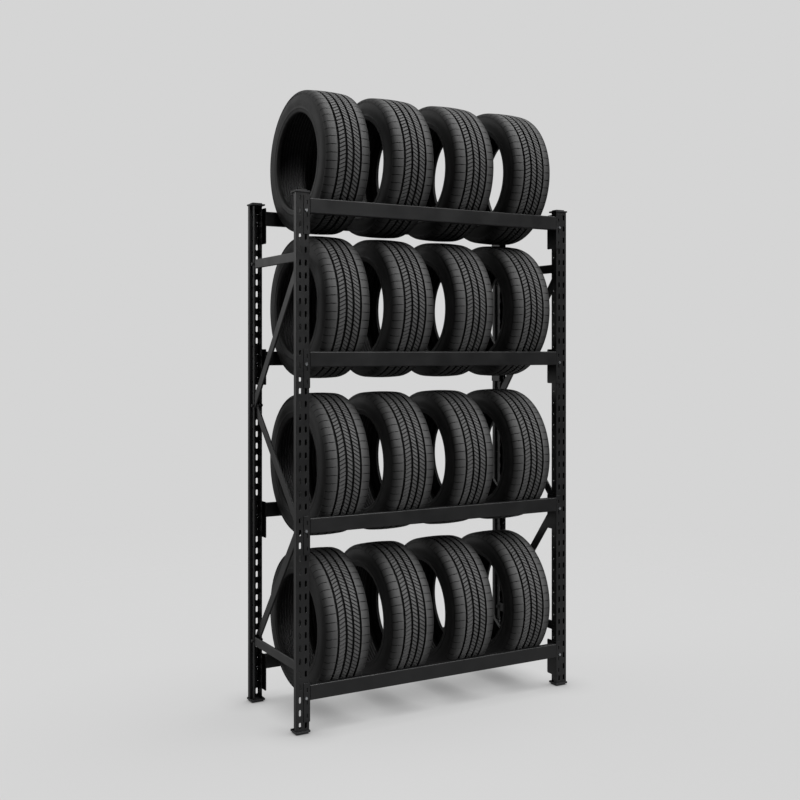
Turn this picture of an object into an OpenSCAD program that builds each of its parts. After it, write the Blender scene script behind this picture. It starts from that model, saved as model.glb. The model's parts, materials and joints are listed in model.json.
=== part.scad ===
// Free-standing four-level tyre storage rack: two braced end frames of slotted
// posts, four pairs of hook-in box beams and the tyres that lie in them.
// Millimetres. X runs along the beams, Y from the front to the rear, Z up.
// The origin is on the floor, under the middle of the rack.

/* [Rack] */
// Width over the outer sides of the posts
rack_w = 1320; // [1260:10:2400]
// Depth over the outer faces of the front and rear posts
rack_d = 500; // [475:1:520]
// Number of hook slots in each column of a post
slot_count = 42; // [42:1:50]
// First slot from the top that each level's connectors hook into, lowest level first
level_slots = [38, 25, 12, 0]; // [0:1:39]

/* [Posts] */
// Width of a post's face
post_w = 56; // [52:1:62]
// Depth of a post's wide part, behind its face
post_side = 21; // [19:1:24]
// Whole depth of a post
post_depth = 47; // [44:1:52]
// Inward step between the wide and the narrow part
post_step = 10; // [8:1:11]
// Sheet thickness of a post
post_t = 2; // [1.5:0.1:2.5]
// Slot width
slot_w = 9; // [8:0.5:10]
// Slot length
slot_l = 25; // [24:0.5:28]
// Distance between the two columns of slots
slot_columns = 25; // [23:0.5:28]

/* [Beams] */
// Height of a beam
beam_h = 60; // [50:1:70]
// Depth of a beam, front to back
beam_d = 24; // [20:1:30]
// Wall of a beam
beam_t = 1.5; // [1.2:0.1:2.5]
// Height of a connector
connector_h = 152; // [140:1:160]
// Depth of a connector's side leg behind the post's face
connector_side = 62; // [50:1:70]

/* [Braces] */
// Height of a brace
brace_h = 38; // [30:1:40]
// Depth of a brace's flanges
brace_d = 7; // [6:0.5:7]

/* [Tyres] */
// Tread diameter
tyre_od = 590; // [580:1:592]
// Section width
tyre_w = 205; // [185:1:225]
// Inner diameter at the bead
tyre_bore = 398; // [390:1:404]
// Distance between neighbouring tyres, centre to centre
tyre_pitch = 299; // [260:1:299]

/* [Hidden] */
$fn = 48;
eps = 0.01;

FACES = ["front", "rear"];
SIDES = ["left", "right"];
LEVELS = [1, 2, 3, 4];
TYRES = [1, 2, 3, 4];

foot_h = 10;
foot_pad_h = 6;
foot_pad_inset = 2;
foot_lip_h = 3;
cap_h = 6;
cap_plug_h = 12;
cap_crown_h = 5;
cap_crown_inset = 6;
plate_edge = 3.5;
fit_gap = 0.4;

// Distance between slots, hole to hole: the fixed module of this kind of rack
slot_pitch = 50;
post_h = slot_pitch * slot_count;
post_top = foot_h + post_h;
post_r = 3;
side_hole_r = 4.5;
side_hole_y = 31;

connector_t = 3;
connector_w = 28.5;
connector_rise = 14;
hook_t = 4;
hook_gap = 0.1;
hook_top = -3;
hook_tip = -21;
window_w = 5;
window_l = 16;
window_z = -14;
lock_z = 5 - slot_pitch;
lock_r = 3;
lock_hole_r = 3.5;

beam_rise = 4;
beam_r = 4;
beam_l = rack_w - 2 * (post_w + connector_t);
beam_front = connector_t;

brace_t = 2;
brace_end = 16;
brace_r = 3;
// Distance of each layer of braces from a post's left edge
layer = [for (i = [0:2]) post_step + post_t + i * brace_d];

bolt_r = 4;
bolt_head = 5.3;
bolt_nut = 6.5;
bolt_l = post_w - 2 * post_step + bolt_nut + 2.5;
hex_8 = 13 / cos(30) / 2;
hex_6 = 10 / cos(30) / 2;

tyre_r = tyre_od / 2;
tyre_gap = 0.4;
cradle_y = rack_d / 2 + beam_front - beam_d + beam_r;
cradle_lift = sqrt(pow(tyre_r + beam_r + tyre_gap, 2) - pow(cradle_y, 2)) - beam_r;

// Height of a hook slot's centre, counted from the top of a post
function slot_z(k) = post_top - slot_pitch * (k + 0.5);
function beam_top(level) = slot_z(level_slots[level - 1]) + beam_rise;
function tyre_z(level) = beam_top(level) + cradle_lift;
function tyre_x(i) = (i - 2.5) * tyre_pitch;

// Heights of the brace bolts, midway between slots
z_top = slot_z(4.5);
z_high = slot_z(5.5);
z_mid_rear = slot_z(16.5);
z_mid_front = slot_z(25.5);
z_low = slot_z(36.5);

// Each brace: name, front end's height, rear end's height, layer
BRACES = [
    ["top_brace", z_top, z_top, 0],
    ["upper_diagonal", z_high, z_mid_rear, 0],
    ["middle_diagonal", z_mid_front, z_mid_rear, 1],
    ["lower_diagonal", z_mid_front, z_low, 2],
    ["bottom_brace", z_low, z_low, 0]
];

// Each brace bolt: face of the frame (0 front, 1 rear), height, layers it holds
BOLTS = [
    [0, z_top, [0]], [0, z_high, [0]], [0, z_mid_front, [1, 2]], [0, z_low, [0]],
    [1, z_top, [0]], [1, z_mid_rear, [0, 1]], [1, z_low, [0, 2]]
];

function corner_name(f, s, part) = str(FACES[f], "_", SIDES[s], "_", part);
function level_name(f, level, part) = str(FACES[f], "_", part, "_", level);
function brace_name(s, brace) = str(SIDES[s], "_", brace[0]);
function tyre_name(level, i) = str("tyre_", level, "_", i);

// ---- helpers ----

module rounded_rect(w, h, r) {
    translate([r, 0]) square([w - 2 * r, h]);
    translate([0, r]) square([w, h - 2 * r]);
    for (x = [r, w - r]) for (y = [r, h - r]) translate([x, y]) circle(r);
}

// Puts what is drawn for the front left corner at any corner of the rack
module corner(f, s) {
    mirror([s, 0, 0]) mirror([0, f, 0])
        translate([-rack_w / 2, -rack_d / 2, 0]) children();
}

// A hex-headed bolt along +Y, with the underside of its head at y = 0
module bolt_y(r, hex, head_h, length) {
    rotate([-90, 0, 0]) {
        translate([0, 0, -eps]) cylinder(r = r, h = length + eps);
        translate([0, 0, -head_h]) cylinder(r = hex, h = head_h, $fn = 6);
    }
}

// A hex nut along Y with its face at y = 0, threaded on a shank of radius r
module nut_y(r, hex, h) {
    rotate([-90, 0, 0]) difference() {
        cylinder(r = hex, h = h, $fn = 6);
        translate([0, 0, -1]) cylinder(r = r, h = h + 2);
    }
}

// ---- end frames ----

// Section of a post: a wide front part that steps in to an open channel
module post_section() {
    difference() {
        union() {
            rounded_rect(post_w, post_side, post_r);
            translate([post_step, post_side / 2])
                square([post_w - 2 * post_step, post_depth - post_side / 2]);
        }
        translate([post_t, post_t])
            rounded_rect(post_w - 2 * post_t, post_side - 2 * post_t, post_r - post_t);
        translate([post_step + post_t, post_side / 2])
            square([post_w - 2 * (post_step + post_t), post_depth]);
    }
}

// One hook slot through a post's face, centred on the origin
module slot_cut() {
    straight = slot_l - slot_w;
    translate([-slot_w / 2, -1, -straight / 2]) cube([slot_w, post_t + 2, straight]);
    for (z = [-1, 1] * straight / 2)
        translate([0, -1, z]) rotate([-90, 0, 0]) cylinder(d = slot_w, h = post_t + 2);
}

module post(f, s) {
    color("#2b2b2d") corner(f, s) difference() {
        translate([0, 0, foot_h]) linear_extrude(post_h) post_section();
        for (k = [0:slot_count - 1]) for (c = [-1, 1] * slot_columns / 2)
            translate([post_w / 2 + c, 0, slot_z(k)]) slot_cut();
        for (k = [0:slot_count - 2])
            translate([-1, side_hole_y, slot_z(k + 0.5)])
                rotate([0, 90, 0]) cylinder(r = side_hole_r, h = post_w + 2);
    }
}

// Outline of a post's end, moved out by a margin
module post_outline(margin) {
    translate([-margin, -margin])
        rounded_rect(post_w + 2 * margin, post_depth + 2 * margin, post_r);
}

// Moulded cap: a plate with a raised crown, and a plug inside the wide part of the post
module top_cap(f, s) {
    plug_gap = post_t + fit_gap;
    color("#1c1c1e") corner(f, s) {
        translate([0, 0, post_top]) {
            linear_extrude(cap_h) post_outline(plate_edge);
            linear_extrude(cap_h + cap_crown_h) post_outline(-cap_crown_inset);
        }
        translate([plug_gap, plug_gap, post_top - cap_plug_h]) linear_extrude(cap_plug_h + 1)
            rounded_rect(post_w - 2 * plug_gap, post_side - 2 * plug_gap, 1);
    }
}

// Moulded foot: a pad on the floor under a wider plate, whose lip holds the end of the post
module foot(f, s) {
    color("#1c1c1e") corner(f, s) {
        linear_extrude(foot_h) post_outline(-foot_pad_inset);
        translate([0, 0, foot_pad_h]) difference() {
            linear_extrude(foot_h + foot_lip_h - foot_pad_h) post_outline(plate_edge);
            translate([0, 0, foot_h - foot_pad_h]) linear_extrude(foot_h)
                post_outline(fit_gap);
        }
    }
}

// Shallow channel section, its web at x = 0 and its flanges towards +X
module brace_section() {
    translate([0, -brace_h / 2]) intersection() {
        difference() {
            rounded_rect(2 * brace_d, brace_h, brace_r);
            translate([brace_t, brace_t])
                rounded_rect(2 * brace_d, brace_h - 2 * brace_t, brace_r - brace_t);
        }
        square([brace_d, brace_h]);
    }
}

// One brace of an end frame, from a front bolt to a rear bolt
module brace(s, b) {
    run = rack_d - 2 * side_hole_y;
    rise = b[2] - b[1];
    length = norm([run, rise]);
    x = -rack_w / 2 + s * (rack_w - post_w) + layer[b[3]];
    color("#303032") translate([x, -run / 2, b[1]]) rotate([atan2(rise, run), 0, 0])
        difference() {
            translate([0, -brace_end, 0]) rotate([-90, 0, 0])
                linear_extrude(length + 2 * brace_end) brace_section();
            for (y = [0, length]) translate([-1, y, 0])
                rotate([0, 90, 0]) cylinder(r = side_hole_r, h = brace_t + 2);
        }
}

// Puts what is drawn along +X from a post's outer channel wall at every brace bolt
module at_brace_bolts() {
    for (s = [0, 1]) for (b = BOLTS)
        translate([-rack_w / 2 + s * (rack_w - post_w),
                   (2 * b[0] - 1) * (rack_d / 2 - side_hole_y), b[1]])
            children();
}

module brace_bolts() {
    color("#b4b6b8") at_brace_bolts()
        translate([post_step, 0, 0]) rotate([0, 0, -90]) bolt_y(bolt_r, hex_8, bolt_head, bolt_l);
}

module brace_nuts() {
    color("#b4b6b8") at_brace_bolts()
        translate([post_w - post_step, 0, 0]) rotate([0, 0, -90]) nut_y(bolt_r, hex_8, bolt_nut);
}

// Spacer tubes that fill the bolt between the braces and the channel's walls
module brace_spacers() {
    right_wall = post_w - post_step - post_t;
    left_wall = post_step + post_t;
    color("#8f9194") for (s = [0, 1]) for (b = BOLTS) {
        webs = [for (i = b[2]) layer[i]];
        starts = concat([left_wall], [for (w = webs) w + brace_t]);
        ends = concat(webs, [right_wall]);
        for (i = [0:len(starts) - 1]) if (ends[i] > starts[i])
            translate([-rack_w / 2 + s * (rack_w - post_w) + starts[i],
                       (2 * b[0] - 1) * (rack_d / 2 - side_hole_y), b[1]])
                rotate([0, 90, 0]) difference() {
                    cylinder(r = bolt_r + 2.5, h = ends[i] - starts[i]);
                    translate([0, 0, -1]) cylinder(r = bolt_r + 0.25, h = post_w);
                }
    }
}

// ---- beams ----

module beam(f, level) {
    color("#2b2b2d") mirror([0, f, 0])
        translate([-beam_l / 2, -rack_d / 2 - beam_front, beam_top(level) - beam_h])
            rotate([90, 0, 90]) linear_extrude(beam_l) difference() {
                rounded_rect(beam_d, beam_h, beam_r);
                translate([beam_t, beam_t])
                    rounded_rect(beam_d - 2 * beam_t, beam_h - 2 * beam_t, beam_r - beam_t);
            }
}

// Section of a connector: a front leg on the post's face, bent back along its side
module connector_section() {
    bend = connector_t + 1;
    difference() {
        translate([post_w + connector_t - connector_w, -connector_t])
            rounded_bend(connector_w, connector_side + connector_t, bend);
        translate([post_w - connector_w - 1, 0]) square([connector_w + 1, connector_side + 1]);
    }
}

// A rectangle with its front right corner rounded
module rounded_bend(w, h, r) {
    square([w - r, h]);
    translate([0, r]) square([w, h - r]);
    translate([w - r, r]) circle(r);
}

// A hook in side view: a neck through the slot and a tongue down behind the face
module hook() {
    neck_bottom = -slot_l / 2 + 0.6;
    tongue = post_t + 3;
    rotate([90, 0, 90]) translate([0, 0, -hook_t / 2]) linear_extrude(hook_t) polygon([
        [-eps, neck_bottom], [post_t + hook_gap, neck_bottom], [post_t + hook_gap, hook_tip + 1],
        [post_t + hook_gap + 1, hook_tip], [tongue, hook_tip + 1], [tongue, hook_top - 2],
        [tongue - 2, hook_top], [-eps, hook_top]
    ]);
}

// Rounds a rear corner of the side leg; z points away from the leg's middle
module leg_corner_cut(r) {
    translate([post_w - 1, connector_side - r, -r]) difference() {
        cube([connector_t + 2, r + 1, r + 1]);
        rotate([0, 90, 0]) translate([0, 0, -1]) cylinder(r = r, h = connector_t + 4);
    }
}

// Front left connector of a level, with three hooks and the locking bolt's hole
module connector(level) {
    k = level_slots[level - 1];
    top = slot_z(k) + connector_rise;
    column = post_w / 2 + slot_columns / 2;
    difference() {
        translate([0, 0, top - connector_h]) linear_extrude(connector_h) connector_section();
        translate([0, 0, top]) leg_corner_cut(6);
        translate([0, 0, top - connector_h]) mirror([0, 0, 1]) leg_corner_cut(6);
        for (i = [0:2])
            translate([column + hook_t / 2, -connector_t - 1,
                       slot_z(k + i) + window_z - window_l / 2])
                cube([window_w, connector_t + 2, window_l]);
        translate([column, -connector_t - 1, slot_z(k) + lock_z])
            rotate([-90, 0, 0]) cylinder(r = lock_hole_r, h = connector_t + 2);
    }
    for (i = [0:2]) translate([column, 0, slot_z(k + i)]) hook();
}

module connectors(f, level) {
    color("#29292b") for (s = [0, 1]) corner(f, s) connector(level);
}

// Puts what is drawn on the face of the front leg at every locking bolt
module at_locks() {
    for (f = [0, 1]) for (s = [0, 1]) for (level = LEVELS) corner(f, s)
        translate([post_w / 2 + slot_columns / 2, 0, slot_z(level_slots[level - 1]) + lock_z])
            children();
}

module locking_bolts() {
    color("#c9cbcc") at_locks() translate([0, -connector_t, 0]) bolt_y(lock_r, hex_6, 4, 12);
}

module locking_nuts() {
    color("#b4b6b8") at_locks() translate([0, post_t, 0]) nut_y(lock_r, hex_6, 5);
}

// ---- tyres ----

function arc(cx, cy, r, from, to, n) =
    [for (i = [0:n]) let (a = from + (to - from) * i / n) [cx + r * cos(a), cy + r * sin(a)]];

// Half of a tyre's section, as [distance from the mid plane, radius]
function tyre_half() =
    let (half = tyre_w / 2, bead = tyre_bore / 2, crown = 900, edge = 0.36 * tyre_w,
         tread = tyre_r - crown + sqrt(pow(crown, 2) - pow(edge, 2)), wall = 9,
         middle = (bead + tread - 5) / 2)
    concat(
        [[0, tyre_r]],
        arc(0, tyre_r - crown, crown, 90 - asin(edge / crown / 2), 90 - asin(edge / crown), 3),
        arc(half - 25, tread - 21, 20, 60, 15, 4),
        arc(half - 62, middle, 62, 25, 0, 5),
        [[half - 0.7, middle - 22], [half - 1.8, bead + 10], [half - 3, bead + 4],
         [half - 6, bead], [half - 17, bead], [half - 18.5, bead + 5], [half - 16, bead + 14]],
        arc(half - 62, middle, 62 - wall, -15, 25, 5),
        arc(half - 40, tread - 29, 18, 20, 75, 3),
        [[0, tyre_r - 15]]
    );

module tyre(level, i) {
    half = tyre_half();
    other = [for (p = [len(half) - 2:-1:1]) [-half[p][0], half[p][1]]];
    color("#3a3a3b") translate([tyre_x(i), 0, tyre_z(level)]) rotate([0, 90, 0])
        rotate_extrude($fn = 96) polygon([for (p = concat(half, other)) [p[1], p[0]]]);
}

// ---- nodes ----

for (f = [0, 1]) for (s = [0, 1]) {
    post(f, s);
    top_cap(f, s);
    foot(f, s);
}
for (l = LEVELS) for (f = [0, 1]) {
    beam(f, l);
    connectors(f, l);
}
for (s = [0, 1]) for (b = BRACES)
    brace(s, b);
locking_bolts();
locking_nuts();
brace_bolts();
brace_nuts();
brace_spacers();
for (l = LEVELS) for (i = TYRES)
    tyre(l, i);
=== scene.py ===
"""The looks of a stocked tyre rack, in metres.

The rack's own parts get powder coat, moulded plastic, zinc plate and blackened
steel. Each tyre gets a detailed mesh with a cut tread. All of it stands in a
pale studio.
"""

import json
import math

import bpy
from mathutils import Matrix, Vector


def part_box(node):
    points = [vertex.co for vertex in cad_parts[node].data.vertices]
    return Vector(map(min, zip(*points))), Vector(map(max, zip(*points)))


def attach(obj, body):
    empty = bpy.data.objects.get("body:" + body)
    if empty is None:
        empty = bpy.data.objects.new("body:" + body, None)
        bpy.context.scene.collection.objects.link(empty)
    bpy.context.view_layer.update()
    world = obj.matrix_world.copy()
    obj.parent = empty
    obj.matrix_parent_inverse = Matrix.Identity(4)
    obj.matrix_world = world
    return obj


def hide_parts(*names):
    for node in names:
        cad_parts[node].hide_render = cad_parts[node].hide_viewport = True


LEVELS = (1, 2, 3, 4)
PLACES = (1, 2, 3, 4)

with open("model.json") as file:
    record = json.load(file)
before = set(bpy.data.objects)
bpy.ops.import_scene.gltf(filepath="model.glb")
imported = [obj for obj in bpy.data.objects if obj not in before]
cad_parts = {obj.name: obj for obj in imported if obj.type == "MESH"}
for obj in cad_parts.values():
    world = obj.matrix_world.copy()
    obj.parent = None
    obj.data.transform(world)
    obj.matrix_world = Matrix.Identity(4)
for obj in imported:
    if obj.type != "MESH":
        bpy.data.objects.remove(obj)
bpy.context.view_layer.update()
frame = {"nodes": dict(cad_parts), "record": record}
scene = bpy.context.scene


# ---- material helpers ----

def new_material(name, colour, roughness, metallic=0.0, specular=0.5):
    """A Principled material; returns the material, its node tree and its shader."""
    material = bpy.data.materials.new(name)
    material.use_nodes = True
    tree = material.node_tree
    shader = tree.nodes["Principled BSDF"]
    shader.inputs["Base Color"].default_value = (*colour, 1.0)
    shader.inputs["Roughness"].default_value = roughness
    shader.inputs["Metallic"].default_value = metallic
    shader.inputs["Specular IOR Level"].default_value = specular
    return material, tree, shader


def add_node(tree, kind, inputs=None, **settings):
    """A node with its settings, and its inputs given by name or number as values or sockets."""
    made = tree.nodes.new(kind)
    for key, value in settings.items():
        setattr(made, key, value)
    for key, value in (inputs or {}).items():
        if isinstance(value, bpy.types.NodeSocket):
            tree.links.new(value, made.inputs[key])
        else:
            made.inputs[key].default_value = value
    return made


def math_node(tree, operation, first, second=0.0):
    return add_node(tree, "ShaderNodeMath", {0: first, 1: second}, operation=operation).outputs[0]


def coordinates(tree):
    return add_node(tree, "ShaderNodeTexCoord").outputs["Object"]


def noise(tree, vector, scale, detail=3.0, roughness=0.5):
    inputs = {"Vector": vector, "Scale": scale, "Detail": detail, "Roughness": roughness}
    return add_node(tree, "ShaderNodeTexNoise", inputs).outputs["Fac"]


def map_range(tree, value, low, high, to_low, to_high):
    inputs = {"Value": value, "From Min": low, "From Max": high, "To Min": to_low, "To Max": to_high}
    return add_node(tree, "ShaderNodeMapRange", inputs, clamp=True).outputs["Result"]


def mix_colour(tree, factor, first, second):
    mixer = add_node(tree, "ShaderNodeMix", data_type="RGBA")
    for socket, value in zip((mixer.inputs["Factor"], mixer.inputs[6], mixer.inputs[7]),
                             (factor, first, second)):
        if isinstance(value, bpy.types.NodeSocket):
            tree.links.new(value, socket)
        else:
            socket.default_value = value
    return mixer.outputs[2]


def bump(tree, height, distance, strength=1.0, normal=None):
    inputs = {"Height": height, "Distance": distance, "Strength": strength}
    if normal is not None:
        inputs["Normal"] = normal
    return add_node(tree, "ShaderNodeBump", inputs).outputs["Normal"]


def grey(value):
    return (value, value, value, 1.0)


def mottle_colour(tree, shader, place, scale, first, second):
    """Blends the base colour between two tones, in patches."""
    tree.links.new(mix_colour(tree, noise(tree, place, scale), first, second), shader.inputs["Base Color"])


def mottle_roughness(tree, shader, patches, smooth, rough):
    """Blends the roughness between two values by a noise."""
    tree.links.new(map_range(tree, patches, 0.3, 0.7, smooth, rough), shader.inputs["Roughness"])


# ---- materials of the rack ----

def edge_mask(tree, radius):
    """1 on edges sharper than the bevel radius, 0 on flats; and the bevelled normal."""
    bevel = add_node(tree, "ShaderNodeBevel", {"Radius": radius}, samples=4).outputs["Normal"]
    geometry = add_node(tree, "ShaderNodeNewGeometry").outputs["Normal"]
    dot = add_node(tree, "ShaderNodeVectorMath", {0: bevel, 1: geometry}, operation="DOT_PRODUCT")
    return map_range(tree, dot.outputs["Value"], 0.995, 0.80, 0.0, 1.0), bevel


def powder_coat():
    """Black powder coat: fine orange peel, soft mottling, thin on edges, and painted shade that dulls its
    gloss in recesses.
    """
    material, tree, shader = new_material("powder_coat", (0.008, 0.008, 0.008), 0.42)
    place = coordinates(tree)
    mottle = noise(tree, place, 14.0, 5.0)
    grain = noise(tree, place, 900.0, 2.0)
    edge, bevel = edge_mask(tree, 0.0012)
    patches = map_range(tree, noise(tree, place, 120.0), 0.4, 0.7, 0.2, 1.0)
    worn = math_node(tree, "MULTIPLY", edge, patches)
    # Painted shade: the gloss drops where ambient occlusion finds a recess, so the insides of channels and
    # slots look dark.
    openness_for_painted_shade = add_node(tree, "ShaderNodeAmbientOcclusion", {"Distance": 0.06}, samples=4).outputs["AO"]
    gloss_with_painted_shade = map_range(tree, openness_for_painted_shade, 0.30, 0.62, 0.06, 0.5)
    tree.links.new(gloss_with_painted_shade, shader.inputs["Specular IOR Level"])
    base = mix_colour(tree, mottle, (0.0048, 0.0049, 0.0053, 1), (0.0082, 0.0082, 0.0085, 1))
    speck = mix_colour(tree, map_range(tree, grain, 0.62, 0.78, 0.0, 0.5), base, grey(0.022))
    tree.links.new(mix_colour(tree, worn, speck, grey(0.034)), shader.inputs["Base Color"])
    mottle_roughness(tree, shader, mottle, 0.37, 0.47)
    ripple = math_node(tree, "MULTIPLY", noise(tree, place, 320.0, 2.0), 0.8)
    peel = math_node(tree, "ADD", grain, ripple)
    tree.links.new(bump(tree, peel, 0.00008, 0.55, bevel), shader.inputs["Normal"])
    return material


def moulded_plastic():
    """Matt black moulded plastic with a spark-eroded grain."""
    material, tree, shader = new_material("moulded_plastic", (0.014, 0.014, 0.015), 0.55)
    place = coordinates(tree)
    bevel = edge_mask(tree, 0.0010)[1]
    mottle_colour(tree, shader, place, 40.0, (0.011, 0.011, 0.012, 1), (0.019, 0.019, 0.020, 1))
    mottle_roughness(tree, shader, noise(tree, place, 90.0), 0.48, 0.62)
    grain = noise(tree, place, 1500.0, 2.0)
    tree.links.new(bump(tree, grain, 0.00006, 0.6, bevel), shader.inputs["Normal"])
    return material


def zinc_plate():
    """Bright zinc plate with a faint passivation tint."""
    material, tree, shader = new_material("zinc_plate", (0.62, 0.63, 0.65), 0.32, metallic=1.0)
    place = coordinates(tree)
    mottle_colour(tree, shader, place, 220.0, (0.72, 0.72, 0.70, 1), (0.56, 0.60, 0.66, 1))
    mottle_roughness(tree, shader, noise(tree, place, 600.0), 0.24, 0.42)
    bevel = edge_mask(tree, 0.0005)[1]
    tree.links.new(bump(tree, noise(tree, place, 2500.0), 0.00003, 0.5, bevel), shader.inputs["Normal"])
    return material


def black_oxide():
    """Blackened steel of nuts and brace bolts, slightly oiled."""
    material, tree, shader = new_material("black_oxide", (0.020, 0.020, 0.021), 0.38, metallic=0.4)
    place = coordinates(tree)
    mottle_colour(tree, shader, place, 260.0, (0.014, 0.014, 0.016, 1), (0.030, 0.029, 0.028, 1))
    mottle_roughness(tree, shader, noise(tree, place, 500.0), 0.30, 0.48)
    bevel = edge_mask(tree, 0.0005)[1]
    tree.links.new(bump(tree, noise(tree, place, 2200.0), 0.00003, 0.5, bevel), shader.inputs["Normal"])
    return material


# ---- materials of a tyre ----

def length(tree, first, second):
    """The length of a vector with these two parts."""
    squares = [math_node(tree, "MULTIPLY", part, part) for part in (first, second)]
    return math_node(tree, "SQRT", math_node(tree, "ADD", *squares))


def wheel_place(tree):
    """A tyre's own coordinates: distance along the axle, radius, and angle in turns."""
    split = add_node(tree, "ShaderNodeSeparateXYZ", {0: coordinates(tree)})
    x, y, z = split.outputs
    turn = math_node(tree, "DIVIDE", math_node(tree, "ARCTAN2", z, y), 2 * math.pi)
    return x, length(tree, y, z), turn


def rubber(name, dark, light, roughness, specular, detail, tint=None):
    """Tyre rubber, mottled from dark to light.

    detail(tree) gives the height of the moulded pattern, in metres, and tint(tree),
    if there is one, another colour and how much of it shows.
    """
    material, tree, shader = new_material(name, dark[:3], roughness, specular=specular)
    place = coordinates(tree)
    bloom = noise(tree, place, 22.0, 6.0, 0.6)
    colour = mix_colour(tree, map_range(tree, bloom, 0.35, 0.65, 0, 1), dark, light)
    if tint:
        amount, second = tint(tree)
        colour = mix_colour(tree, amount, colour, second)
    tree.links.new(colour, shader.inputs["Base Color"])
    mottle_roughness(tree, shader, bloom, roughness - 0.06, roughness + 0.06)
    skin = math_node(tree, "MULTIPLY", noise(tree, place, 1100.0, 3.0), 0.00006)
    height = math_node(tree, "ADD", skin, detail(tree))
    tree.links.new(bump(tree, height, 1.0), shader.inputs["Normal"])
    return material


def band(tree, value, centre, half, soft):
    """1 where value is within half of centre, falling to 0 over soft."""
    away = math_node(tree, "ABSOLUTE", math_node(tree, "SUBTRACT", value, centre))
    return map_range(tree, away, half, half + soft, 1.0, 0.0)


def waves(tree, value, count):
    """A sine that repeats count times in each unit of value."""
    return math_node(tree, "SINE", math_node(tree, "MULTIPLY", value, 2 * math.pi * count))


def tread_detail(tree):
    """Fine moulding lines round the tread."""
    x = wheel_place(tree)[0]
    return math_node(tree, "MULTIPLY", waves(tree, x, 1 / 0.0021), 0.00004)


def shoulder_tint(tree):
    """The tread's grey darkens across the shoulders into the sidewall's black."""
    out = math_node(tree, "ABSOLUTE", wheel_place(tree)[0])
    return map_range(tree, out, 0.055, 0.085, 0, 1), grey(0.020)


def sidewall_detail(tree):
    """A serrated band round the lower wall, and rings at the shoulder."""
    radius, turn = wheel_place(tree)[1:]
    lower = band(tree, radius, 0.2270, 0.0042, 0.0006)
    upper = band(tree, radius, 0.2660, 0.0036, 0.0006)
    serration = math_node(tree, "MULTIPLY", waves(tree, turn, 420.0), lower)
    rings = math_node(tree, "MULTIPLY", waves(tree, radius, 1 / 0.0016), upper)
    total = math_node(tree, "ADD", serration, rings)
    return math_node(tree, "MULTIPLY", total, 0.00010)


def liner_ridges(tree):
    """1 along the ridges that run round the inside of a tyre, 0 between them."""
    return map_range(tree, waves(tree, wheel_place(tree)[0], 1 / 0.013), 0.30, 1.0, 0.0, 1.0)


def liner_detail(tree):
    """The marks that the curing bladder leaves inside a tyre: ridges and slanted lines."""
    x, _, turn = wheel_place(tree)
    around = math_node(tree, "MULTIPLY", turn, 90.0)
    across = math_node(tree, "MULTIPLY", x, 60.0)
    slant = map_range(tree, waves(tree, math_node(tree, "ADD", around, across), 1.0), 0.80, 1.0, 0.0, 0.5)
    return math_node(tree, "MULTIPLY", math_node(tree, "ADD", slant, liner_ridges(tree)), 0.0012)


def liner_ridge_highlight(tree):
    """Painted highlight along the ridges: a lighter grey on each ridge."""
    return liner_ridges(tree), grey(0.065)


# ---- tyre mesh ----

# Places of the tyre's materials in its mesh; GROOVE holds the near-black painted shade of the cuts
TREAD, WALL, LINER, GROOVE = range(4)


class Surface:
    """Collects rings of points round the X axis into one mesh."""

    def __init__(self):
        self.points = []
        self.faces = []
        self.slots = []

    def rings(self, rows, slot, in_cut=None):
        """Joins neighbouring rings, each a list of (x, radius, angle), by quads.

        in_cut(i, j) is true for the quads that line a groove, a slot or a sipe; these get the painted
        shade of the cuts.
        """
        count = len(rows[0])
        start = len(self.points)
        for row in rows:
            for x, radius, angle in row:
                self.points.append((x, radius * math.cos(angle), radius * math.sin(angle)))
        for i in range(len(rows) - 1):
            for j in range(count):
                a = start + i * count + j
                b = start + i * count + (j + 1) % count
                self.faces.append((a, b, b + count, a + count))
                self.slots.append(GROOVE if in_cut and in_cut(i, j) else slot)

    def mesh(self, name, materials):
        made = bpy.data.meshes.new(name)
        made.from_pydata(self.points, [], self.faces)
        for material in materials:
            made.materials.append(material)
        made.polygons.foreach_set("material_index", self.slots)
        made.polygons.foreach_set("use_smooth", [True] * len(self.faces))
        made.set_sharp_from_angle(angle=math.radians(32))
        made.update()
        return made


def arc(x, y, radius, start, end, steps):
    """Points of a circular arc, with its angles in degrees."""
    angles = [math.radians(start + (end - start) * i / steps) for i in range(steps + 1)]
    return [(x + radius * math.cos(a), y + radius * math.sin(a)) for a in angles]


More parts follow.
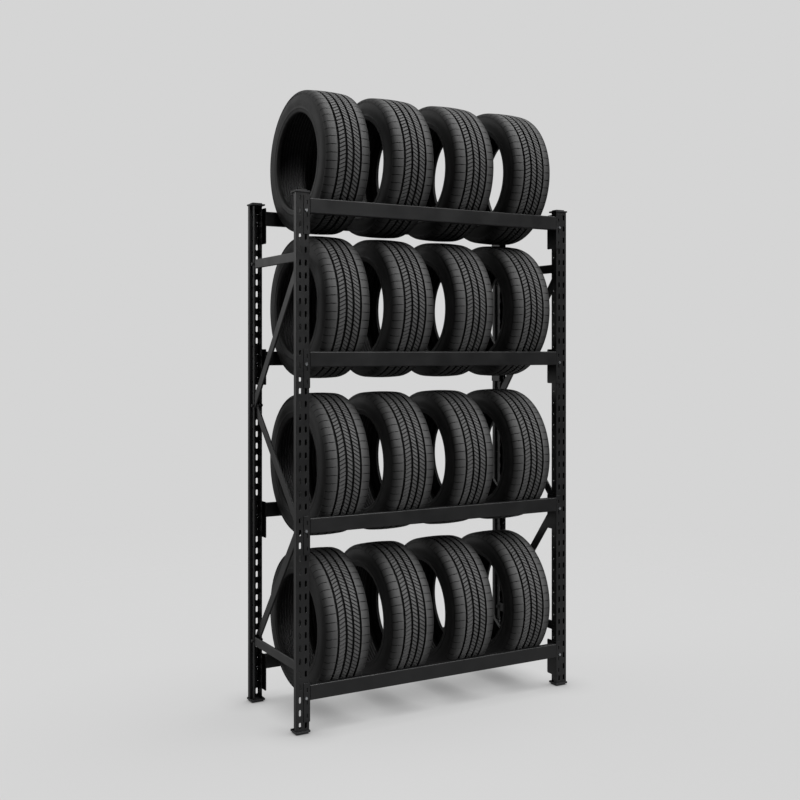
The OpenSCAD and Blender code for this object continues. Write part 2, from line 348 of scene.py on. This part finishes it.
class TyreShape:
    """The section of a tyre, in metres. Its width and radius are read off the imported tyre."""

    # Radius of the bore at the bead
    bead = 0.199
    # Radius of the tread's curve across, and the share of the width that it covers
    crown = 0.9
    crown_share = 0.72
    # The shoulder's curve: its radius, and its centre's distance in from the wall and the tread
    shoulder_curve = 0.020
    shoulder_inset, shoulder_drop = 0.025, 0.021
    # Radius of the sidewall's curve, and how thick the sidewall and the tread are
    wall_curve = 0.062
    wall_thickness = 0.009
    tread_thickness = 0.015
    # The ridge that keeps kerbs off the rim: how far it stands out, where, and its width
    protector, protector_radius, protector_width = 0.0016, 0.2175, 0.0035

    # The tread repeats pitch_count times round the tyre
    pitch_count = 56
    round_steps = 4 * pitch_count
    groove_centres = (-0.0495, -0.0155, 0.0150, 0.0485)
    groove_half = 0.0047
    groove_floor_half = 0.0039
    groove_depth = 0.0078
    groove_wall = groove_half - groove_floor_half
    chamfer = 0.0006
    # Sipes of the middle ribs, and their slope in each rib from left to right
    sipe_half = 0.0022
    sipe_depth = 0.0060
    rib_slopes = (-0.50, 0.72, 0.72)
    # Width of the sloping side of a sipe or slot
    lip = 0.0004
    # Lateral slots of the outer ribs: they fade in, widen and bend outwards, and run out
    # over the shoulder
    slot_depth = 0.0058
    slot_start, slot_fade_in = 0.004, 0.008
    slot_narrow, slot_wide, slot_widening = 0.0006, 0.0017, 0.035
    slot_bend, slot_bend_reach = 0.0022, 0.045
    slot_end, slot_run_out = 0.081, 0.009

    def __init__(self, node):
        low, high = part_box(node)
        self.half = (high.x - low.x) / 2
        self.radius = (high.z - low.z) / 2
        self.edge = self.crown_share * self.half
        self.tread = self.crown_radius(self.edge)
        self.middle = (self.bead + self.tread - 0.005) / 2
        self.pitch = 2 * math.pi * self.radius / self.pitch_count

    def crown_radius(self, x):
        return self.radius - self.crown + math.sqrt(self.crown ** 2 - x ** 2)

    def cut_marks(self, half):
        """Places across a sipe or slot, each with 1 on its floor and 0 on the tread."""
        return (-half - self.lip, 0), (-half, 1), (half, 1), (half + self.lip, 0)

    def shoulder(self):
        """From the edge of the crown to the top of the sidewall."""
        start = (self.edge, self.tread)
        centre = (self.half - self.shoulder_inset, self.tread - self.shoulder_drop)
        curve = arc(*centre, self.shoulder_curve, 60, 15, 6)
        between = ((start[0] + curve[0][0]) / 2, (start[1] + curve[0][1]) / 2 + 0.0007)
        return [start, between] + curve

    def wall(self):
        """From just inside the shoulder down to the bead's heel."""
        x, radius = self.shoulder()[-1]
        tuck = (x - 0.0008, radius + 0.0012)
        upper = arc(self.half - self.wall_curve, self.middle, self.wall_curve, 27, 0, 12)
        drop = self.middle - self.bead - 0.010
        lower = [(self.half - 0.0018 * (k / 12) ** 2, self.middle - drop * k / 12) for k in range(1, 13)]
        return [tuck] + [(x + self.ridge(radius), radius) for x, radius in upper + lower]

    def ridge(self, radius):
        """How far the rim protector stands out of the wall at a radius."""
        return self.protector * math.exp(-((radius - self.protector_radius) / self.protector_width) ** 2)

    def bead_ring(self):
        """Round the bead, from its heel outside to its toe inside."""
        heel = [(0.0022, 0.0070), (0.0030, 0.0040), (0.0042, 0.0014), (0.0060, 0.0)]
        toe = [(0.0165, -0.0003), (0.0180, 0.0008), (0.0185, 0.0050), (0.0160, 0.0140)]
        return [(self.half - inward, self.bead + up) for inward, up in heel + toe]

    def liner(self):
        """Up the inside of the wall, to the middle of the crown."""
        inner_curve = self.wall_curve - self.wall_thickness
        side = arc(self.half - self.wall_curve, self.middle, inner_curve, -15, 25, 8)
        corner = arc(self.half - 0.040, self.tread - 0.029, 0.018, 20, 75, 5)
        return side + corner + [(0.0, self.radius - self.tread_thickness)]


def ramp(value, start, distance):
    """0 up to start, rising to 1 over a distance."""
    return min(max((value - start) / distance, 0.0), 1.0)


def on_floor(cuts, j):
    """Whether the quad after mark j lies on the floor of a sipe or slot."""
    return bool(cuts[j] and cuts[(j + 1) % len(cuts)])


def tread_rib(surface, shape, left, right, slope):
    """A rib between two grooves, cut by two slanted sipes in each pitch."""
    marks = []
    for centre in (0.25, 0.75):
        marks += [(centre * shape.pitch + offset, cut) for offset, cut in shape.cut_marks(shape.sipe_half)]
        marks.append(((centre + 0.25) * shape.pitch, 0))
    around = [(k * shape.pitch + along, cut) for k in range(shape.pitch_count) for along, cut in marks]
    cuts = [cut for along, cut in around]
    width = right - left
    top = [left + shape.chamfer, left + 0.35 * width, left + 0.65 * width, right - shape.chamfer]
    profile = [(left - shape.groove_wall, shape.groove_depth), (left, shape.chamfer)]
    profile += [(x, 0.0) for x in top]
    profile += [(right, shape.chamfer), (right + shape.groove_wall, shape.groove_depth)]
    middle = (left + right) / 2
    rows = []
    for x, down in profile:
        slant = slope * (min(max(x, left), right) - middle)
        rows.append([(x, shape.crown_radius(x) - max(down, shape.sipe_depth * cut),
                      (along + slant) / shape.radius) for along, cut in around])
    walls = (0, len(rows) - 2)
    surface.rings(rows, TREAD, lambda i, j: i in walls or on_floor(cuts, j))


def tread_shoulder(surface, shape, side, edge):
    """The outer rib on one side, with its lateral slots, and the shoulder beyond it."""
    top = [edge + step for step in (0.0, shape.chamfer, 0.004, 0.007, 0.012, 0.018)]
    points = [(edge - shape.groove_wall, shape.crown_radius(edge) - shape.groove_depth)]
    points += [(x, shape.crown_radius(x) - (shape.chamfer if x == edge else 0.0)) for x in top]
    points += shape.shoulder()
    between = [(part * shape.pitch, 0) for part in (0.25, 0.5, 0.75)]
    cuts = [cut for along, cut in [*shape.cut_marks(0.0), *between]] * shape.pitch_count
    rows = []
    for x, radius in points:
        fade_in = ramp(x, edge + shape.slot_start, shape.slot_fade_in)
        fade_out = 1.0 - ramp(x, shape.slot_end - shape.slot_run_out, shape.slot_run_out)
        depth = shape.slot_depth * fade_in * fade_out
        widened = ramp(x, edge, shape.slot_widening)
        half = shape.slot_narrow + (shape.slot_wide - shape.slot_narrow) * widened
        bend = shape.slot_bend * ((x - edge) / shape.slot_bend_reach) ** 2
        marks = [*shape.cut_marks(half), *between]
        rows.append([(side * x, radius - depth * cut, (k * shape.pitch + along + bend) / shape.radius)
                     for k in range(shape.pitch_count) for along, cut in marks])
    groove_row = 0
    if side > 0:
        rows.reverse()
        groove_row = len(rows) - 2
    surface.rings(rows, TREAD, lambda i, j: i == groove_row or on_floor(cuts, j))


def plain_rings(surface, profile, slot, count):
    """A surface of revolution from a list of (x, radius)."""
    angles = [2 * math.pi * j / count for j in range(count)]
    surface.rings([[(x, radius, a) for a in angles] for x, radius in profile], slot)


def tyre_mesh(shape, materials):
    """A whole tyre: ribs, shoulders, groove floors, and on each side wall, bead and liner."""
    surface = Surface()
    grooves = shape.groove_centres
    half = shape.groove_half
    for left, right, slope in zip(grooves, grooves[1:], shape.rib_slopes):
        tread_rib(surface, shape, left + half, right - half, slope)
    tread_shoulder(surface, shape, -1, -grooves[0] + half)
    tread_shoulder(surface, shape, 1, grooves[-1] + half)
    # Each groove's floor reaches a little under its walls
    floor_half = shape.groove_floor_half + 0.0003
    floor_depth = shape.groove_depth - 0.0002
    for centre in grooves:
        edges = (centre - floor_half, centre + floor_half)
        floor = [(x, shape.crown_radius(x) - floor_depth) for x in edges]
        plain_rings(surface, floor, GROOVE, shape.round_steps)
    wall, bead, liner = shape.wall(), shape.bead_ring(), shape.liner()
    profiles = (wall, WALL), ([wall[-1]] + bead, WALL), ([bead[-1]] + liner, LINER)
    for side in (-1, 1):
        for profile, slot in profiles:
            placed = [(side * x, radius) for x, radius in profile]
            plain_rings(surface, placed[::side], slot, shape.round_steps)
    return surface.mesh("tyre_mesh", materials)


# ---- build ----

# In the order of TREAD, WALL, LINER and GROOVE
tyre_materials = [
    rubber("tread_rubber", grey(0.072), grey(0.094), 0.66, 0.35, tread_detail, shoulder_tint),
    rubber("sidewall_rubber", grey(0.012), grey(0.018), 0.55, 0.25, sidewall_detail),
    # The liner carries a painted highlight on its ridges.
    rubber("liner_rubber", grey(0.010), grey(0.018), 0.50, 0.40, liner_detail, liner_ridge_highlight),
    # Painted shade: the grooves, sipes and slots get a near-black rubber, darker than their depth alone
    # would make them.
    rubber("groove_painted_shade", grey(0.005), grey(0.008), 0.70, 0.10, tread_detail),
]

slot_materials = {
    "post_paint": powder_coat(),
    "black_plastic": moulded_plastic(),
    "zinc_steel": zinc_plate(),
    "black_steel": black_oxide(),
}
for part in frame["record"]["subparts"]:
    if part["material_slot"] in slot_materials:
        cad_piece = frame["nodes"][part["node"]]
        cad_piece.data.materials.clear()
        cad_piece.data.materials.append(slot_materials[part["material_slot"]])

# The tyres lie turned by different shares of one pitch of the tread, in degrees
TURN_STEP = 2.1
PITCH_ANGLE = 6.43

tyre = tyre_mesh(TyreShape("tyre_1_1"), tyre_materials)
for level in LEVELS:
    for place in PLACES:
        node = f"tyre_{level}_{place}"
        low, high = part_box(node)
        piece = bpy.data.objects.new(f"{node}_look", tyre)
        scene.collection.objects.link(piece)
        piece.location = (low + high) / 2
        piece.rotation_euler.x = math.radians(TURN_STEP * (level * 7 + place * 3) % PITCH_ANGLE)
        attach(piece, node)
        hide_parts(node)


# ---- stage ----

# Brightness of the backdrop as seen
BACKDROP = 0.665
# Glow of the floor, as seen and as it lights the rack
FLOOR_SEEN = 0.552
FLOOR_LIT = 0.20
# How far from a thing the painted shadow darkens the floor under it, and the power that shapes that
# painted shadow
PAINTED_SHADOW_REACH, PAINTED_SHADOW_POWER = 0.16, 0.82
# Distance from the middle at which the floor starts to fade into the backdrop, and is gone
FADE_START, FADE_END = 2.2, 5.0
# Where the backdrop shines on the rack from, how brightly there and elsewhere, and the
# cosines between which one gives way to the other
GLOW_FROM = (-0.60, 0.62, 0.50)
GLOW_BRIGHT, GLOW_DIM = 1.15, 0.05
GLOW_EDGE = (0.70, 0.92)
# Soft boxes: direction, strength, and angle across in degrees
TOP_LIGHT = ((0.30, 0.0, 1.0), 1.75, 34.0)
FRONT_LIGHT = ((0.20, -0.90, 0.90), 3.3, 42.0)


def seen_or_lit(tree, seen, lit):
    """One value where the camera looks, another for the light that falls on things."""
    camera = add_node(tree, "ShaderNodeLightPath").outputs["Is Camera Ray"]
    inputs = {"Value": camera, "To Min": lit, "To Max": seen}
    return add_node(tree, "ShaderNodeMapRange", inputs).outputs["Result"]


def floor_material():
    """White paint that glows, with a painted shadow that darkens it under close things, and fades out with
    distance.
    """
    material, tree, shader = new_material("floor_paint", grey(0.16)[:3], 0.9, specular=0.0)
    split = add_node(tree, "ShaderNodeSeparateXYZ", {0: coordinates(tree)})
    distance = length(tree, split.outputs[0], split.outputs[1])
    tree.links.new(map_range(tree, distance, FADE_START, FADE_END, 1.0, 0.0), shader.inputs["Alpha"])
    # Painted shadow: ambient occlusion dims the floor's glow near the rack.
    painted_shadow_ao = add_node(tree, "ShaderNodeAmbientOcclusion", {"Distance": PAINTED_SHADOW_REACH}, samples=16)
    openness_for_painted_shade = math_node(tree, "POWER", painted_shadow_ao.outputs["AO"], PAINTED_SHADOW_POWER)
    glow = math_node(tree, "MULTIPLY", openness_for_painted_shade, FLOOR_SEEN)
    shader.inputs["Emission Color"].default_value = grey(1.0)
    tree.links.new(seen_or_lit(tree, glow, FLOOR_LIT), shader.inputs["Emission Strength"])
    return material


def pale_floor():
    """A round floor under the rack."""
    steps, reach = 96, 14.0
    angles = [2 * math.pi * i / steps for i in range(steps)]
    ring = [(reach * math.cos(angle), reach * math.sin(angle), 0.0) for angle in angles]
    mesh = bpy.data.meshes.new("floor")
    mesh.from_pydata(ring, [], [tuple(range(steps))])
    mesh.materials.append(floor_material())
    floor = bpy.data.objects.new("floor", mesh)
    scene.collection.objects.link(floor)
    return floor


def soft_light(name, source, strength, spread):
    """A large distant soft box in the direction of source, as seen from the rack."""
    lamp = bpy.data.lights.new(name, "SUN")
    lamp.energy = strength
    lamp.angle = math.radians(spread)
    holder = bpy.data.objects.new(name, lamp)
    scene.collection.objects.link(holder)
    holder.rotation_euler = Vector(source).to_track_quat("Z", "Y").to_euler()
    return holder


def keep_light_off(light, item):
    """Leaves one object out of what a light shines on."""
    unlit = bpy.data.collections.new(f"{light.name}_unlit")
    unlit.objects.link(item)
    unlit.collection_objects[0].light_linking.link_state = "EXCLUDE"
    light.light_linking.receiver_collection = unlit


def studio(floor):
    """A pale backdrop, brightest behind the rack on its left, a top light and a front light."""
    world = bpy.data.worlds.new("studio")
    world.use_nodes = True
    tree = world.node_tree
    facing = add_node(tree, "ShaderNodeTexCoord").outputs["Generated"]
    toward = add_node(tree, "ShaderNodeVectorMath", {0: facing, 1: GLOW_FROM}, operation="DOT_PRODUCT")
    glow = map_range(tree, toward.outputs["Value"], *GLOW_EDGE, GLOW_DIM, GLOW_BRIGHT)
    background = tree.nodes["Background"]
    background.inputs["Color"].default_value = grey(1.0)
    tree.links.new(seen_or_lit(tree, BACKDROP, glow), background.inputs["Strength"])
    scene.world = world
    scene.view_settings.view_transform = "Standard"
    soft_light("top", *TOP_LIGHT)
    keep_light_off(soft_light("front", *FRONT_LIGHT), floor)


def front_left_camera():
    """A level camera in front of the rack, to its left, with its picture shifted down."""
    lens = bpy.data.cameras.new("camera")
    lens.sensor_width = 36.0
    lens.lens = 49.29
    lens.shift_y = -0.0619
    camera = bpy.data.objects.new("camera", lens)
    scene.collection.objects.link(camera)
    camera.location = (-2.421, -4.132, 1.4934)
    camera.rotation_euler = (math.radians(90), 0.0, math.radians(-29.805))
    scene.camera = camera


studio(pale_floor())
front_left_camera()
